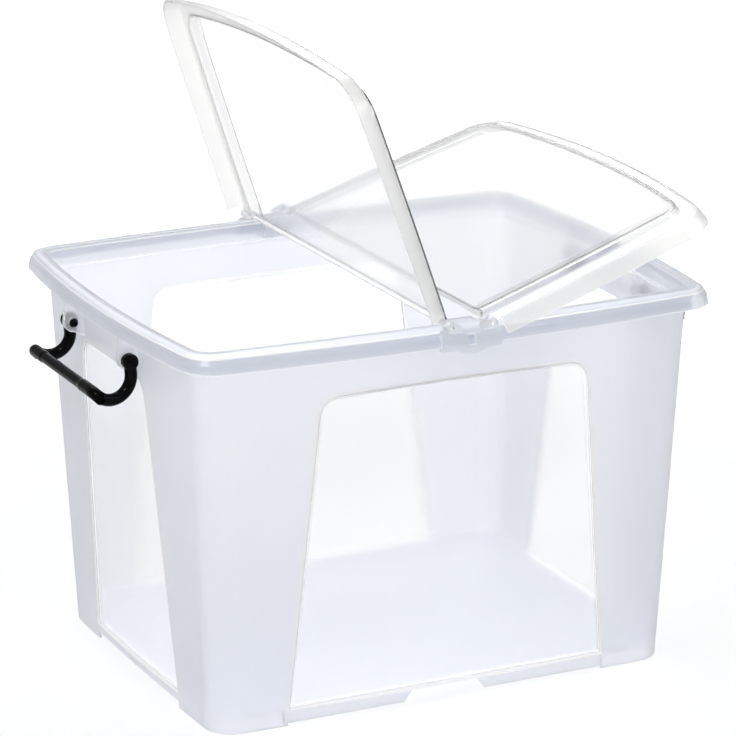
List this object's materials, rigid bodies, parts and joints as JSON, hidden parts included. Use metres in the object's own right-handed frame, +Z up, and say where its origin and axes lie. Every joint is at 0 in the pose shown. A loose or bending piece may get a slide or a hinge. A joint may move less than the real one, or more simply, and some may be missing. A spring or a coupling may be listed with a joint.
{
  "type": "portable file box",
  "caption": "Clear plastic box for files: open drafted tub, lid split in two flaps that hinge on rim clips, and a swing handle at each end.",
  "frame": {"origin": "middle of the base, on the surface that the feet stand on", "axes": "+X along the box's length towards the flap that lies low in the picture, +Y from the front wall to the back wall, +Z up"},
  "size_m": [0.5534, 0.4062, 0.5484],
  "materials": {
    "tub_plastic": "clear windows between frosted corner posts",
    "lid_plastic": "clear, polished",
    "clip_plastic": "clear, satin",
    "handle_plastic": "gloss black"
  },
  "bodies": {
    "box": {"tub": "tub_plastic", "hinge_clip_front": "clip_plastic", "hinge_clip_back": "clip_plastic"},
    "flap_left": {"lid_flap_left": "lid_plastic"},
    "flap_right": {"lid_flap_right": "lid_plastic"},
    "handle_left": {"handle_left": "handle_plastic"},
    "handle_right": {"handle_right": "handle_plastic"}
  },
  "joints": [
    {"name": "lid_left", "type": "hinge", "parent": "box", "child": "flap_left", "pos_m": [-0.0185, 0, 0.3323], "axis": [0, 1, 0], "range_deg": [-71, 19]},
    {"name": "lid_right", "type": "hinge", "parent": "box", "child": "flap_right", "pos_m": [0.0185, 0, 0.3323], "axis": [0, -1, 0], "range_deg": [-18, 72]},
    {"name": "handle_left_pivot", "type": "hinge", "parent": "box", "child": "handle_left", "pos_m": [-0.24008, 0, 0.297], "axis": [0, 1, 0], "range_deg": [-14, 105]},
    {"name": "handle_right_pivot", "type": "hinge", "parent": "box", "child": "handle_right", "pos_m": [0.24008, 0, 0.297], "axis": [0, -1, 0], "range_deg": [-14, 105]}
  ]
}
